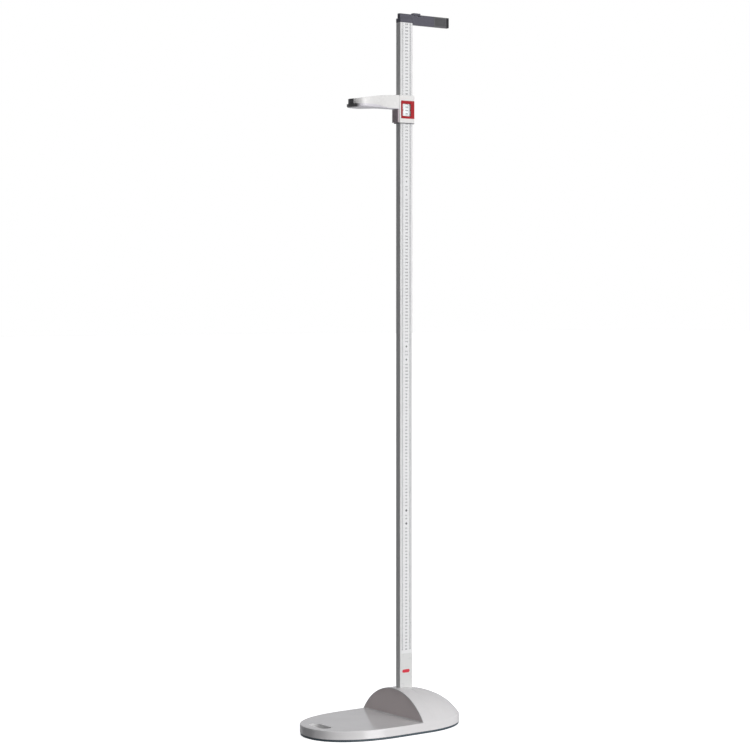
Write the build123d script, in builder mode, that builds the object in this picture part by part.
from build123d import *

import os
from math import cos, pi, sin

# Portable height-measuring rod: a moulded base with a standing platform and a domed heel stop,
# four plug-together rod sections with printed scale strips, a sliding head piece with a reading
# window, and a wall spacer that plugs into the top of the rod.
# Millimetres. +Z is up, -Y is the side the person stands on, +Y is the wall side, and the
# scale faces +X. The origin is on the floor, under the middle of the base.

# Base: straight sides between two rounded ends
BASE_LENGTH = 544
BASE_WIDTH = 300
SIDES_FRONT = -43
SIDES_REAR = 75
FRONT_POWER = 2.2
REAR_POWER = 2
SHELL_BOTTOM = 7.5
PLATE_TOP = 10.5
PLATE_GAP = 0.6
PLATFORM_TOP = 33
WALL = 3
PLATFORM_ROUND = 2.5
RIB = 2
SKIRT_BOTTOM = 0.5
SKIRT_OUT = 1.5
SKIRT_IN = 7.5

# Domed heel stop: a body of revolution about a line that runs along Y below the floor
HEEL_Y = 46
CREST = PLATFORM_TOP + 83.5
DOME_RADIUS = 178.2
DOME_AXIS_Z = CREST - DOME_RADIUS
RIDGE_RUN = 228.5
RIDGE_FOOT = -15.5
RIDGE_POWER = 2.2
DOME_BLEND = 8
DOME_LIP = 1.5
PANEL_RECESS = 1
PANEL = 3
PANEL_GAP = 0.1
LEDGE_REACH = 2.5
LEDGE_HEIGHT = 2.5
LEDGE_HALF = 146
LEDGE_ROUND = 2

# Hand slot through the platform
SLOT_Y = -226
SLOT_LENGTH = 85
SLOT_WIDTH = 34
LINER = 2

# Feet and screws of the base
FOOT_RADIUS = 11
STUD_RADIUS = 4
STUD_GAP = 0.05
FOOT_PLACES = [(-88, -175), (88, -175), (-118, 72), (118, 72), (0, 246)]
BOSS_RADIUS = 5
BOSS_PLACES = [(side * x, y) for x, y in ((118, -95), (66, -216), (132, 25), (78, 205)) for side in (-1, 1)]
SCREW_RADIUS = 1.4
SCREW_HOLE = 1.6
BOSS_HOLE = 1.45
SCREW_HEAD = 3
HEAD_DEPTH = 1.6
HEAD_GAP = 0.1

# Rod
ROD_Y = 89
ROD_THICK = 22
ROD_DEPTH = 48
ROD_WALL = 1.6
ROD_CORNER = 2.5
BORE_CORNER = 1.6
SECTION = 500
FIRST_JOINT = PLATFORM_TOP + 605
ROD_TOP = PLATFORM_TOP + 2105
JOINT_GAP = 0.2
PLUG_DEPTH = 45
SPIGOT = 50
SLIDE_GAP = 0.3
STRIP = 0.5
STRIP_FRONT = ROD_Y - 19
STRIP_REAR = ROD_Y + 21.5
SCALE_START = PLATFORM_TOP + 187

# Socket that holds the rod's foot
SOCKET_FLOOR = 14.5
SOCKET_TOP = 102
SOCKET_WALL = 3
SOCKET_RIB_TOP = 60

# Head piece; heights are counted from the pointer line of its window
POINTER_Z = PLATFORM_TOP + 1840
CARRIAGE_GAP = 0.4
CARRIAGE_WALL = 2
CARRIAGE_BOTTOM = POINTER_Z - 40
CARRIAGE_TOP = POINTER_Z + 40
HOUSING_HALF = 15.6
HOUSING_FRONT = ROD_Y - 30
HOUSING_REAR = ROD_Y + 28
HOUSING_BOTTOM = POINTER_Z - 37.5
HOUSING_TOP = POINTER_Z + 45
HOUSING_CORNER = 4
WINDOW_FRONT = ROD_Y - 19.5
WINDOW_REAR = ROD_Y + 12
WINDOW_LOW = POINTER_Z - 17.8
WINDOW_HIGH = POINTER_Z + 19
LENS_POCKET = (HOUSING_HALF - 2, HOUSING_HALF - 0.6)
LENS_EDGE = 1.5
FRAME_FRONT = ROD_Y - 24.6
FRAME_REAR = ROD_Y + 25.6
FRAME_LOW = POINTER_Z - 24.9
FRAME_HIGH = POINTER_Z + 28.6
FRAME_FACE = HOUSING_HALF + 1.6
NOTCH = 3
NOTCH_HALF = 2

# Tongue of the head piece
TONGUE_HALF = 40
TONGUE_FLARE = ROD_Y - 62
TONGUE_RISE = ROD_Y - 102
TONGUE_WIDE = ROD_Y - 150
TONGUE_ROUND = ROD_Y - 167
TONGUE_TIP_TOP = POINTER_Z + 23.5
TONGUE_END = TONGUE_ROUND - TONGUE_HALF
TONGUE_LIP = 9.5
TONGUE_SEAM = 4.2
TONGUE_ROOT = 2.6
TONGUE_SET_BACK = 5
TONGUE_WALL = 2.2
TIP_WIDTH = 26
TIP_PROUD = 1.2

# Brake lever of the head piece
LEVER_FRONT = ROD_Y - 36
LEVER_REAR = ROD_Y - 31.9
LEVER_HALF = 15.4
LEVER_LOW = POINTER_Z - 37.5
LEVER_HIGH = POINTER_Z + 1.6
STEM_RADIUS = 1.5
STEM_HOLE = 1.9
STEM_HEIGHTS = (POINTER_Z - 34.6, POINTER_Z - 2.6)
BRAKE_Z = POINTER_Z - 19

# Wall spacer
BAR_HALF = 6.3
BAR_TOP = ROD_TOP + 27
BAR_STEP = 4
BAR_FRONT = ROD_Y - 21.5
STEP_FRONT = ROD_Y + 27.5
BAR_REAR = ROD_Y + 109.5
BAR_WALL = 2
BAR_FLOOR = ROD_TOP + 2
CAP_HALF = 11.3
CAP_REACH = 24.5
CAP_HEIGHT = 12
GRIP_REAR = ROD_Y + 158
PAD_REAR = ROD_Y + 168.5
TAB_FRONT = ROD_Y + 30.5
TAB_REAR = ROD_Y + 57
TAB_HEIGHT = 4.5
TAB_SINK = 2.2
TAB_WELL = 4.4
TAB_GAP = 0.4

os.makedirs("parts", exist_ok=True)


def write(part, label):
    part.label = label
    export_step(part, f"parts/{label}.step")


def superellipse(half_width, length, power, steps=8):
    angles = [pi / 2 * step / steps for step in range(steps + 1)]
    return [(half_width * cos(a) ** (2 / power), length * sin(a) ** (2 / power)) for a in angles]


def base_outline(inset):
    """Face of the base's plan, drawn into the current sketch."""
    half = BASE_WIDTH / 2 - inset
    front = superellipse(half, BASE_LENGTH / 2 + SIDES_FRONT - inset, FRONT_POWER)
    rear = superellipse(half, BASE_LENGTH / 2 - SIDES_REAR - inset, REAR_POWER)
    with BuildLine() as outline:
        Spline([(x, SIDES_FRONT - y) for x, y in front], tangents=[(0, -1), (-1, 0)])
        Spline([(x, SIDES_REAR + y) for x, y in rear], tangents=[(0, 1), (-1, 0)])
        Line((half, SIDES_FRONT), (half, SIDES_REAR))
        mirror(about=Plane.YZ)
    make_face(outline.edges())


def dome(inset):
    """Dome over the base's outline, from the plane of the heels to the rear tip."""
    steps = superellipse(RIDGE_RUN - inset, CREST - RIDGE_FOOT - inset, RIDGE_POWER)
    ridge = [(HEEL_Y + run, RIDGE_FOOT + rise) for run, rise in steps]
    with BuildPart() as body:
        with BuildSketch(Plane.YZ):
            with BuildLine():
                Spline(ridge, tangents=[(0, 1), (-1, 0)])
                Polyline(ridge[-1], (HEEL_Y, DOME_AXIS_Z), (ridge[0][0], DOME_AXIS_Z), ridge[0])
            make_face()
        revolve(axis=Axis((0, 0, DOME_AXIS_Z), (0, 1, 0)))
        with BuildSketch(Plane.XY.offset(SHELL_BOTTOM)):
            base_outline(inset)
        extrude(amount=CREST, mode=Mode.INTERSECT)
    return body.part


def rod_profile(inset, corner=ROD_CORNER):
    with Locations((0, ROD_Y)):
        RectangleRounded(ROD_THICK - 2 * inset, ROD_DEPTH - 2 * inset, corner)


def slot_profile(margin):
    """Hand slot's plan, grown by a margin on every side."""
    with Locations((0, SLOT_Y)):
        SlotOverall(SLOT_LENGTH + 2 * margin, SLOT_WIDTH + 2 * margin)


def box(x, y, z, mode=Mode.ADD):
    """Block between two corners, given as three (low, high) pairs."""
    with Locations(((x[0] + x[1]) / 2, (y[0] + y[1]) / 2, (z[0] + z[1]) / 2)):
        Box(x[1] - x[0], y[1] - y[0], z[1] - z[0], mode=mode)


def screws(places, direction, length):
    """Countersunk cross-head screws; each place is the middle of a head's outer face."""
    with BuildPart() as group:
        for place in places:
            with BuildSketch(Plane(origin=place, z_dir=direction)):
                Circle(SCREW_HEAD)
            extrude(amount=HEAD_DEPTH, taper=44)
            with BuildSketch(Plane(origin=place, z_dir=direction)):
                Circle(SCREW_RADIUS)
            extrude(amount=length)
            with BuildSketch(Plane(origin=place, z_dir=direction)):
                Rectangle(3, 0.7)
                Rectangle(0.7, 3)
            extrude(amount=0.8, mode=Mode.SUBTRACT)
    return group.part


def screw_holes(places, direction, length):
    """Countersunk clearance holes for the screws, cut from the current part."""
    for place in places:
        with BuildSketch(Plane(origin=place, z_dir=direction)) as head:
            Circle(SCREW_HEAD + HEAD_GAP)
        extrude(head.sketch, amount=HEAD_DEPTH, taper=44, mode=Mode.SUBTRACT)
        with BuildSketch(Plane(origin=place, z_dir=direction)) as shaft:
            Circle(SCREW_HOLE)
        extrude(shaft.sketch, amount=length, mode=Mode.SUBTRACT)


# ---------------------------------------------------------------- base

skin_rear = HEEL_Y + PANEL_RECESS + PANEL + 1
base_screw_places = [(x, y, SHELL_BOTTOM) for x, y in BOSS_PLACES]
socket_screw_places = [(x, ROD_Y + y, SHELL_BOTTOM) for x in (-22, 22) for y in (-34, 34)]

with BuildPart() as platform:
    with BuildSketch(Plane.XY.offset(SHELL_BOTTOM)):
        base_outline(0)
    extrude(amount=PLATFORM_TOP - SHELL_BOTTOM)
    fillet(platform.faces().sort_by(Axis.Z)[-1].edges(), radius=PLATFORM_ROUND)
    split(bisect_by=Plane(origin=(0, skin_rear, 0), z_dir=(0, 1, 0)), keep=Keep.BOTTOM)

with BuildPart() as heel_stop:
    add(dome(0))
    dome_face = heel_stop.faces().filter_by(GeomType.REVOLUTION).sort_by(Axis.Z)[-1]
    fillet(dome_face.edges().filter_by(lambda edge: edge.center().Y > HEEL_Y + 1), radius=DOME_BLEND)
    rim = heel_stop.edges().filter_by(GeomType.CIRCLE).sort_by(SortBy.LENGTH)[-1]
    fillet(rim, radius=DOME_LIP)

with BuildPart() as platform_cavity:
    with BuildSketch(Plane.XY.offset(SHELL_BOTTOM)):
        base_outline(WALL)
    extrude(amount=PLATFORM_TOP - WALL - SHELL_BOTTOM)
    split(bisect_by=Plane(origin=(0, skin_rear, 0), z_dir=(0, 1, 0)), keep=Keep.BOTTOM)

with BuildPart() as cavity:
    add(dome(WALL))
    box((-BASE_WIDTH, BASE_WIDTH), (HEEL_Y, skin_rear), (0, PLATFORM_TOP), mode=Mode.SUBTRACT)
    add(platform_cavity.part)
    for x in (-96, -32, 32, 96):
        box((x, x + RIB), (-198, HEEL_Y), (PLATE_TOP, PLATFORM_TOP), mode=Mode.SUBTRACT)
    for y in (-184, -126, -68, -10):
        box((-BASE_WIDTH, BASE_WIDTH), (y, y + RIB), (PLATE_TOP, PLATFORM_TOP), mode=Mode.SUBTRACT)
    for x, y in BOSS_PLACES:
        with BuildSketch(Plane.XY.offset(PLATE_TOP)):
            with Locations((x, y)):
                Circle(BOSS_RADIUS)
                Circle(BOSS_HOLE, mode=Mode.SUBTRACT)
        extrude(amount=CREST, mode=Mode.SUBTRACT)

with BuildPart() as heel_ledge:
    ledge_height = (PLATFORM_TOP - WALL, PLATFORM_TOP + LEDGE_HEIGHT)
    box((-LEDGE_HALF, LEDGE_HALF), (HEEL_Y - LEDGE_REACH, HEEL_Y + PANEL_RECESS), ledge_height)
    fillet(heel_ledge.edges().filter_by(Axis.X).group_by(Axis.Z)[-1].sort_by(Axis.Y)[0], radius=LEDGE_ROUND)

with BuildPart() as base_shell:
    add(platform.part)
    add(heel_stop.part)
    add(cavity.part, mode=Mode.SUBTRACT)
    add(heel_ledge.part)
    with BuildSketch(Plane.XY):
        slot_profile(LINER)
    extrude(amount=PLATFORM_TOP + 1, mode=Mode.SUBTRACT)
    with BuildSketch(Plane.XY.offset(SOCKET_RIB_TOP)):
        rod_profile(-SLIDE_GAP, ROD_CORNER + SLIDE_GAP)
    extrude(amount=CREST, mode=Mode.SUBTRACT)
write(base_shell.part, "base_shell")

with BuildPart() as heel_panel:
    with BuildSketch(Plane(origin=(0, HEEL_Y + PANEL_RECESS, 0), x_dir=(1, 0, 0), z_dir=(0, 1, 0))):
        with Locations((0, -DOME_AXIS_Z)):
            Circle(DOME_RADIUS - WALL - PANEL_GAP)
        with Locations((0, -PLATFORM_TOP - PANEL_GAP)):
            Rectangle(2 * DOME_RADIUS, 2 * DOME_RADIUS, align=(Align.CENTER, Align.MIN), mode=Mode.SUBTRACT)
    extrude(amount=PANEL)
write(heel_panel.part, "heel_panel")

with BuildPart() as grip_liner:
    with BuildSketch(Plane.XY.offset(SHELL_BOTTOM)):
        slot_profile(LINER)
    extrude(amount=PLATFORM_TOP - SHELL_BOTTOM)
    with BuildSketch(Plane.XY.offset(SHELL_BOTTOM)):
        slot_profile(0)
    extrude(amount=PLATFORM_TOP - SHELL_BOTTOM, mode=Mode.SUBTRACT)
    rims = grip_liner.faces().filter_by(Axis.Z).sort_by(Axis.Z)[-1].inner_wires()
    fillet([edge for wire in rims for edge in wire.edges()], radius=1.5)
write(grip_liner.part, "grip_liner")

with BuildPart() as skirt_hollow:
    with BuildSketch(Plane.XY):
        base_outline(SKIRT_IN)
    extrude(amount=SHELL_BOTTOM)

with BuildPart() as base_plate:
    with BuildSketch(Plane.XY.offset(SKIRT_BOTTOM)):
        base_outline(SKIRT_OUT)
    extrude(amount=SHELL_BOTTOM - SKIRT_BOTTOM)
    add(skirt_hollow.part, mode=Mode.SUBTRACT)
    with BuildSketch(Plane.XY.offset(SHELL_BOTTOM)):
        base_outline(WALL + PLATE_GAP)
    extrude(amount=PLATE_TOP - SHELL_BOTTOM)
    with BuildSketch(Plane.XY):
        slot_profile(LINER)
        with Locations(*FOOT_PLACES):
            Circle(STUD_RADIUS + STUD_GAP)
    extrude(amount=PLATE_TOP, mode=Mode.SUBTRACT)
    screw_holes(base_screw_places + socket_screw_places, (0, 0, 1), PLATE_TOP)
write(base_plate.part, "base_plate")

with BuildPart() as rubber_feet:
    with Locations(*[(x, y, 0) for x, y in FOOT_PLACES]):
        Cylinder(FOOT_RADIUS, SHELL_BOTTOM, align=(Align.CENTER, Align.CENTER, Align.MIN))
        Cylinder(STUD_RADIUS, PLATE_TOP, align=(Align.CENTER, Align.CENTER, Align.MIN))
    chamfer(rubber_feet.edges().group_by(Axis.Z)[0], length=0.8)
write(rubber_feet.part, "rubber_feet")

write(screws(base_screw_places, (0, 0, 1), 14), "base_screws")
write(screws(socket_screw_places, (0, 0, 1), 6.5), "socket_screws")

with BuildPart() as rod_socket:
    with BuildSketch(Plane.XY.offset(PLATE_TOP)):
        with Locations((0, ROD_Y)):
            RectangleRounded(60, 86, 8)
    extrude(amount=SOCKET_FLOOR - PLATE_TOP)
    with BuildSketch(Plane.XY.offset(PLATE_TOP)):
        rod_profile(-SLIDE_GAP - SOCKET_WALL, ROD_CORNER + SOCKET_WALL)
    extrude(amount=SOCKET_TOP - PLATE_TOP)
    with BuildSketch(Plane.XY.offset(SOCKET_FLOOR)):
        rod_profile(-SLIDE_GAP, ROD_CORNER + SLIDE_GAP)
    extrude(amount=SOCKET_TOP, mode=Mode.SUBTRACT)
    for side in (-1, 1):
        near = side * (ROD_THICK / 2 + SLIDE_GAP + SOCKET_WALL)
        reach = side * 28
        for y in (-12, 0, 12):
            with BuildSketch(Plane.XZ.offset(-(ROD_Y + y) - RIB / 2)):
                Polygon((near, SOCKET_FLOOR), (reach, SOCKET_FLOOR), (near, SOCKET_RIB_TOP), align=None)
            extrude(amount=RIB)
    screw_holes([(x, y, PLATE_TOP - HEAD_DEPTH) for x, y, _ in socket_screw_places], (0, 0, 1), 8)
write(rod_socket.part, "rod_socket")

# ---------------------------------------------------------------- rod

rod_starts = [SOCKET_FLOOR + 2.2] + [FIRST_JOINT + SECTION * index + JOINT_GAP for index in range(3)]
rod_ends = [FIRST_JOINT + SECTION * index for index in range(3)] + [ROD_TOP - JOINT_GAP]
joint_heights = rod_ends[:3]
joint_screw_places = [[(-ROD_THICK / 2, ROD_Y + y, z - 24) for y in (-12, 12)] for z in joint_heights]

for number, (low, high) in enumerate(zip(rod_starts, rod_ends), start=1):
    strip_low = max(low, SCALE_START)
    with BuildPart() as rod_section:
        with BuildSketch(Plane.XY.offset(low)):
            rod_profile(0)
        extrude(amount=high - low)
        with BuildSketch(Plane.XY.offset(low)):
            rod_profile(ROD_WALL, BORE_CORNER)
        extrude(amount=high - low, mode=Mode.SUBTRACT)
        box(
            (ROD_THICK / 2 - STRIP, ROD_THICK),
            (STRIP_FRONT, STRIP_REAR),
            (strip_low, high),
            mode=Mode.SUBTRACT,
        )
        if number <= len(joint_heights):
            screw_holes(joint_screw_places[number - 1], (1, 0, 0), ROD_WALL + 0.5)
    write(rod_section.part, f"rod_section_{number}")

    with BuildPart() as scale_strip:
        box((ROD_THICK / 2 - STRIP, ROD_THICK / 2), (STRIP_FRONT, STRIP_REAR), (strip_low, high))
    write(scale_strip.part, f"scale_strip_{number}")

with BuildPart() as rod_foot:
    with BuildSketch(Plane.XY.offset(SOCKET_FLOOR + 0.2)):
        rod_profile(0)
    extrude(amount=2)
    with BuildSketch(Plane.XY.offset(SOCKET_FLOOR + 2.2)):
        rod_profile(ROD_WALL, BORE_CORNER)
    extrude(amount=24)
    with BuildSketch(Plane.XY.offset(SOCKET_FLOOR + 4.2)):
        rod_profile(ROD_WALL + 2, 1)
    extrude(amount=24, mode=Mode.SUBTRACT)
write(rod_foot.part, "rod_foot")

for number, height in enumerate(joint_heights, start=1):
    with BuildPart() as rod_connector:
        with BuildSketch(Plane.XY.offset(height - PLUG_DEPTH)):
            rod_profile(ROD_WALL, BORE_CORNER)
        extrude(amount=PLUG_DEPTH)
        with BuildSketch(Plane.XY.offset(height)):
            rod_profile(ROD_WALL + SLIDE_GAP, BORE_CORNER)
        extrude(amount=SPIGOT)
        chamfer(rod_connector.edges().group_by(Axis.Z)[-1], length=1.5)
        with BuildSketch(Plane.XY.offset(height - PLUG_DEPTH)):
            rod_profile(ROD_WALL + 3, 1)
            with Locations((0, ROD_Y)):
                Rectangle(ROD_THICK, 2, mode=Mode.SUBTRACT)
        extrude(amount=PLUG_DEPTH + SPIGOT - 2, mode=Mode.SUBTRACT)
        screw_holes(joint_screw_places[number - 1], (1, 0, 0), 5)
    write(rod_connector.part, f"rod_connector_{number}")
    write(screws(joint_screw_places[number - 1], (1, 0, 0), 4.5), f"connector_screws_{number}")

# ---------------------------------------------------------------- head piece

housing_screw_places = [(-HOUSING_HALF, ROD_Y + y, POINTER_Z + z) for y in (-18, 18) for z in (-31, 33)]


def housing_block(low, high):
    """Block with the housing's plan between two heights."""
    with BuildSketch(Plane.XY.offset(low)) as plan:
        with Locations((0, (HOUSING_FRONT + HOUSING_REAR) / 2)):
            RectangleRounded(2 * HOUSING_HALF, HOUSING_REAR - HOUSING_FRONT, HOUSING_CORNER)
    extrude(plan.sketch, amount=high - low)


def rod_hole(inset, corner, low, high):
    """Hole with the rod's plan, cut from the current part between two heights."""
    with BuildSketch(Plane.XY.offset(low)) as plan:
        rod_profile(inset, corner)
    extrude(plan.sketch, amount=high - low, mode=Mode.SUBTRACT)


def window_box(x, margin, mode):
    """Block behind the reading window, grown by a margin on every side."""
    width = (WINDOW_FRONT - margin, WINDOW_REAR + margin)
    height = (WINDOW_LOW - margin, WINDOW_HIGH + margin)
    box(x, width, height, mode=mode)


with BuildPart() as slide_carriage:
    with BuildSketch(Plane.XY.offset(CARRIAGE_BOTTOM)):
        rod_profile(-CARRIAGE_GAP - CARRIAGE_WALL, ROD_CORNER + 1)
    extrude(amount=CARRIAGE_TOP - CARRIAGE_BOTTOM)
    housing_block(CARRIAGE_BOTTOM, HOUSING_BOTTOM)
    rod_hole(-CARRIAGE_GAP, ROD_CORNER + CARRIAGE_GAP, CARRIAGE_BOTTOM, CARRIAGE_TOP)
    window_box((0, HOUSING_HALF), 1, Mode.SUBTRACT)
    box((-6, 6), (HOUSING_FRONT, ROD_Y), (BRAKE_Z - 12, BRAKE_Z + 12), mode=Mode.SUBTRACT)
write(slide_carriage.part, "slide_carriage")

with BuildPart() as slide_housing:
    housing_block(HOUSING_BOTTOM, HOUSING_TOP)
    fillet(slide_housing.edges().group_by(Axis.Z)[-1], radius=2.5)
    rod_hole(-CARRIAGE_GAP - CARRIAGE_WALL, ROD_CORNER + 1, HOUSING_BOTTOM, CARRIAGE_TOP)
    rod_hole(-CARRIAGE_GAP, ROD_CORNER + CARRIAGE_GAP, CARRIAGE_TOP, HOUSING_TOP)
    window_box((0, HOUSING_HALF), 0, Mode.SUBTRACT)
    window_box(LENS_POCKET, LENS_EDGE, Mode.SUBTRACT)
    box((-7, 7), (HOUSING_FRONT + 1.4, ROD_Y), (BRAKE_Z - 13, BRAKE_Z + 13), mode=Mode.SUBTRACT)
    screw_holes(housing_screw_places, (1, 0, 0), 3)
    with BuildSketch(Plane.XZ.offset(-HOUSING_FRONT)):
        with Locations(*[(0, height) for height in STEM_HEIGHTS]):
            Circle(STEM_HOLE)
    extrude(amount=-3.5, mode=Mode.SUBTRACT)
write(slide_housing.part, "slide_housing")
write(screws(housing_screw_places, (1, 0, 0), 2.1), "housing_screws")

with BuildPart() as window_frame:
    with BuildSketch(Plane.YZ.offset(HOUSING_HALF)):
        with Locations(((FRAME_FRONT + FRAME_REAR) / 2, (FRAME_LOW + FRAME_HIGH) / 2)):
            RectangleRounded(FRAME_REAR - FRAME_FRONT, FRAME_HIGH - FRAME_LOW, 1.2)
        with Locations(((WINDOW_FRONT + WINDOW_REAR) / 2, (WINDOW_LOW + WINDOW_HIGH) / 2)):
            Rectangle(WINDOW_REAR - WINDOW_FRONT, WINDOW_HIGH - WINDOW_LOW, mode=Mode.SUBTRACT)
        for edge, point in ((WINDOW_FRONT, WINDOW_FRONT + NOTCH), (WINDOW_REAR, WINDOW_REAR - NOTCH)):
            low = (edge, POINTER_Z - NOTCH_HALF)
            high = (edge, POINTER_Z + NOTCH_HALF)
            with BuildLine() as tooth:
                Polyline(low, (point, POINTER_Z), high, close=True)
            make_face(tooth.edges())
    extrude(amount=FRAME_FACE - HOUSING_HALF)
    chamfer(window_frame.faces().sort_by(Axis.X)[-1].outer_wire().edges(), length=0.5)
write(window_frame.part, "window_frame")

with BuildPart() as window_lens:
    window_box((LENS_POCKET[0] + 0.1, LENS_POCKET[1] - 0.1), LENS_EDGE - 0.1, Mode.ADD)
write(window_lens.part, "window_lens")


def tongue_outline(wide, inset):
    """Face of the tongue's plan: as narrow as the housing at its root, wide and round in front."""
    root = HOUSING_HALF - inset
    half = wide - inset
    with BuildLine() as outline:
        side = Line((root, HOUSING_FRONT), (root, TONGUE_FLARE))
        flare = Spline(side @ 1, (half, TONGUE_WIDE), tangents=[(0, -1), (0, -1)])
        edge = Line(flare @ 1, (half, TONGUE_ROUND))
        ThreePointArc(
            edge @ 1,
            (half * sin(pi / 4), TONGUE_ROUND - half * cos(pi / 4)),
            (0, TONGUE_ROUND - half),
        )
        mirror(about=Plane.YZ)
        Line((-root, HOUSING_FRONT), (root, HOUSING_FRONT))
    make_face(outline.edges())


def parting_line(lift):
    """The line where the tongue's halves meet, seen from the side, from root to tip."""
    return [
        (HOUSING_FRONT, POINTER_Z + TONGUE_SEAM + lift),
        (TONGUE_FLARE, POINTER_Z + TONGUE_SEAM + lift),
        (TONGUE_WIDE, POINTER_Z + TONGUE_LIP + lift),
        (TONGUE_END, POINTER_Z + TONGUE_LIP + lift),
    ]


def upper_body(inset, drop, lift):
    """Tongue above the parting line; inset, drop and lift move its sides, top and bottom."""
    root_top = (HOUSING_FRONT, HOUSING_TOP - drop)
    crown = ((HOUSING_FRONT + TONGUE_END) / 2, (HOUSING_TOP + TONGUE_TIP_TOP) / 2 + 2.5 - drop)
    tip_top = (TONGUE_END, TONGUE_TIP_TOP - drop)
    with BuildPart() as body:
        with BuildSketch(Plane.XY.offset(POINTER_Z)):
            tongue_outline(TONGUE_HALF - TONGUE_SET_BACK, inset)
        extrude(amount=HOUSING_TOP - POINTER_Z)
        with BuildSketch(Plane.YZ.offset(-TONGUE_HALF)):
            with BuildLine():
                Polyline(*parting_line(lift), tip_top)
                ThreePointArc(tip_top, crown, root_top)
                Line(root_top, parting_line(lift)[0])
            make_face()
        extrude(amount=2 * TONGUE_HALF, mode=Mode.INTERSECT)
    return body.part


with BuildPart() as tongue_tip:
    with BuildSketch(Plane.XY.offset(POINTER_Z + TONGUE_LIP + 0.1)):
        with Locations((0, TONGUE_ROUND)):
            Circle(TONGUE_HALF - TONGUE_SET_BACK + 2)
            Circle(TONGUE_HALF - TONGUE_SET_BACK - 1.2, mode=Mode.SUBTRACT)
        with Locations((0, TONGUE_ROUND - TONGUE_HALF)):
            Rectangle(TIP_WIDTH, TONGUE_HALF, mode=Mode.INTERSECT)
    extrude(amount=TONGUE_TIP_TOP + TIP_PROUD - POINTER_Z - TONGUE_LIP)
    chamfer(tongue_tip.edges().group_by(Axis.Z)[-1], length=0.5)
write(tongue_tip.part, "tongue_tip")

tongue_screw_places = [(x, ROD_Y + y, POINTER_Z) for x, y in ((-20, -156), (20, -156), (0, -188))]

with BuildPart() as tongue_cavity:
    add(upper_body(TONGUE_WALL, TONGUE_WALL, -5))
    for x, y, _ in tongue_screw_places:
        with BuildSketch(Plane.XY.offset(POINTER_Z)):
            with Locations((x, y)):
                Circle(4)
                Circle(SCREW_HOLE, mode=Mode.SUBTRACT)
        extrude(amount=HOUSING_TOP - POINTER_Z, mode=Mode.SUBTRACT)

with BuildPart() as tongue_upper:
    add(upper_body(0, 0, 0))
    fillet(tongue_upper.edges().filter_by(lambda edge: edge.center().Z > POINTER_Z + 20), radius=2)
    add(tongue_cavity.part, mode=Mode.SUBTRACT)
    add(tongue_tip.part, mode=Mode.SUBTRACT)
write(tongue_upper.part, "tongue_upper")

with BuildPart() as tongue_lower:
    with BuildSketch(Plane.XY.offset(POINTER_Z)):
        tongue_outline(TONGUE_HALF, 0)
    extrude(amount=TONGUE_LIP)
    lowest = tongue_lower.edges().group_by(Axis.Z)[0]
    fillet(lowest.filter_by(lambda edge: edge.center().Y < HOUSING_FRONT), radius=5)
    with BuildSketch(Plane.XY.offset(POINTER_Z + TONGUE_WALL)):
        tongue_outline(TONGUE_HALF - 2, TONGUE_WALL)
        with Locations((0, TONGUE_WIDE)):
            Rectangle(BASE_WIDTH, BASE_WIDTH, align=(Align.CENTER, Align.MIN), mode=Mode.SUBTRACT)
    extrude(amount=TONGUE_LIP, mode=Mode.SUBTRACT)
    with BuildSketch(Plane.YZ.offset(-TONGUE_HALF)):
        with BuildLine():
            Polyline(
                *parting_line(0),
                (TONGUE_END, POINTER_Z),
                (TONGUE_WIDE, POINTER_Z),
                (TONGUE_RISE, POINTER_Z + TONGUE_ROOT),
                (HOUSING_FRONT, POINTER_Z + TONGUE_ROOT),
                close=True,
            )
        make_face()
    extrude(amount=2 * TONGUE_HALF, mode=Mode.INTERSECT)
    screw_holes(tongue_screw_places, (0, 0, 1), 6)
write(tongue_lower.part, "tongue_lower")
write(screws(tongue_screw_places, (0, 0, 1), 14), "tongue_screws")

with BuildPart() as brake_lever:
    box((-LEVER_HALF, LEVER_HALF), (LEVER_FRONT, LEVER_REAR), (LEVER_LOW, LEVER_HIGH))
    fillet(brake_lever.edges().filter_by(Axis.Z).group_by(Axis.Y)[0], radius=2.5)
    for x in (-9, -4.5, 0, 4.5, 9):
        groove = ((x - 0.8, x + 0.8), (LEVER_FRONT, LEVER_FRONT + 0.8), (LEVER_LOW + 4, LEVER_HIGH - 4))
        box(*groove, mode=Mode.SUBTRACT)
    with BuildSketch(Plane.XZ.offset(-LEVER_REAR)):
        with Locations(*[(0, height) for height in STEM_HEIGHTS]):
            Circle(STEM_RADIUS)
    extrude(amount=-3.7)
write(brake_lever.part, "brake_lever")

with BuildPart() as brake_shoe:
    box((-5.4, 5.4), (ROD_Y - 26.2, ROD_Y - 24.3), (BRAKE_Z - 11, BRAKE_Z + 11))
    chamfer(brake_shoe.edges().filter_by(Axis.X).group_by(Axis.Y)[-1], length=0.8)
write(brake_shoe.part, "brake_shoe")

with BuildPart() as brake_spring:
    with BuildSketch(Plane.YZ.offset(-4)):
        with BuildLine():
            back = ROD_Y - 28.5
            face = ROD_Y - 28
            ThreePointArc((back, BRAKE_Z - 11), (ROD_Y - 26.8, BRAKE_Z), (back, BRAKE_Z + 11))
            Line((back, BRAKE_Z + 11), (face, BRAKE_Z + 11))
            ThreePointArc((face, BRAKE_Z + 11), (ROD_Y - 26.3, BRAKE_Z), (face, BRAKE_Z - 11))
            Line((face, BRAKE_Z - 11), (back, BRAKE_Z - 11))
        make_face()
    extrude(amount=8)
write(brake_spring.part, "brake_spring")

# ---------------------------------------------------------------- wall spacer

bar_sides = (-BAR_HALF, BAR_HALF)
spacer_screw_places = [(0, ROD_Y + y, BAR_TOP) for y in (-14, 6)]

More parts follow.
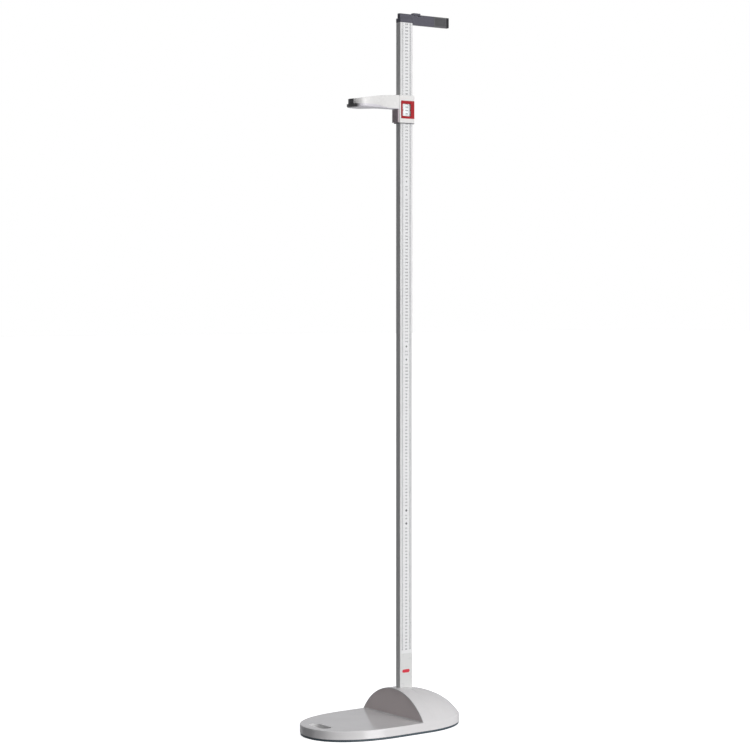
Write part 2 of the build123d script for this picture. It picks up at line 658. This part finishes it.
with BuildPart() as spacer_plug:
    with BuildSketch(Plane.XY.offset(ROD_TOP)):
        rod_profile(ROD_WALL + SLIDE_GAP, BORE_CORNER)
    extrude(amount=10 - PLUG_DEPTH)
    chamfer(spacer_plug.edges().group_by(Axis.Z)[0], length=1.5)
    with BuildSketch(Plane.XY.offset(ROD_TOP)):
        with Locations(*[(0, y) for _, y, _ in spacer_screw_places]):
            Circle(SCREW_HOLE)
    extrude(amount=-20, mode=Mode.SUBTRACT)
write(spacer_plug.part, "spacer_plug")

with BuildPart() as spacer_bar:
    box((-CAP_HALF, CAP_HALF), (ROD_Y - CAP_REACH, ROD_Y + CAP_REACH), (ROD_TOP, ROD_TOP + CAP_HEIGHT))
    fillet(spacer_bar.edges().filter_by(Axis.Z), radius=3)
    fillet(spacer_bar.edges().group_by(Axis.Z)[-1], radius=1)
    box(bar_sides, (BAR_FRONT, BAR_REAR), (ROD_TOP, BAR_TOP))
    box(bar_sides, (STEP_FRONT, BAR_REAR), (ROD_TOP - BAR_STEP, ROD_TOP))
    fillet(spacer_bar.edges().filter_by(Axis.Y).group_by(Axis.Z)[-1], radius=1.5)
    box(
        (-BAR_HALF + BAR_WALL, BAR_HALF - BAR_WALL),
        (ROD_Y + 16, BAR_REAR),
        (BAR_FLOOR, BAR_TOP - BAR_WALL),
        mode=Mode.SUBTRACT,
    )
    well = (TAB_FRONT - TAB_GAP, TAB_REAR + TAB_GAP)
    box(bar_sides, well, (BAR_TOP - TAB_WELL, BAR_TOP), mode=Mode.SUBTRACT)
    screw_holes(spacer_screw_places, (0, 0, -1), BAR_TOP - ROD_TOP)
write(spacer_bar.part, "spacer_bar")
write(screws(spacer_screw_places, (0, 0, -1), 44), "spacer_screws")

with BuildPart() as spacer_tab:
    tab_top = BAR_TOP + TAB_HEIGHT
    box(bar_sides, (TAB_FRONT, TAB_REAR), (BAR_TOP - TAB_SINK, tab_top))
    fillet(spacer_tab.edges().filter_by(Axis.X).group_by(Axis.Z)[-1], radius=1.5)
    for step in range(5):
        y = TAB_FRONT + 5.2 + 4 * step
        box(bar_sides, (y - 0.5, y + 0.5), (tab_top - 0.6, tab_top), mode=Mode.SUBTRACT)
write(spacer_tab.part, "spacer_tab")

with BuildPart() as spacer_extension:
    tube_half = BAR_HALF - BAR_WALL - TAB_GAP
    box((-tube_half, tube_half), (ROD_Y + 22, BAR_REAR + 2), (BAR_FLOOR + 0.4, BAR_TOP - 7))
    box(bar_sides, (BAR_REAR + 0.3, GRIP_REAR), (ROD_TOP - BAR_STEP, BAR_TOP))
    fillet(spacer_extension.edges().filter_by(Axis.Y).group_by(Axis.Z)[-1], radius=1.5)
    for step in range(11):
        y = BAR_REAR + 5.5 + 3.8 * step
        for side in (-1, 1):
            ends = sorted((side * (BAR_HALF - 0.8), side * BAR_HALF))
            box(ends, (y - 0.8, y + 0.8), (ROD_TOP, BAR_TOP - 4), mode=Mode.SUBTRACT)
write(spacer_extension.part, "spacer_extension")

with BuildPart() as wall_pad:
    box(bar_sides, (GRIP_REAR, PAD_REAR), (ROD_TOP - BAR_STEP, BAR_TOP))
    fillet(wall_pad.edges().filter_by(Axis.Y), radius=1.5)
    chamfer(wall_pad.faces().sort_by(Axis.Y)[-1].edges(), length=1)
write(wall_pad.part, "wall_pad")
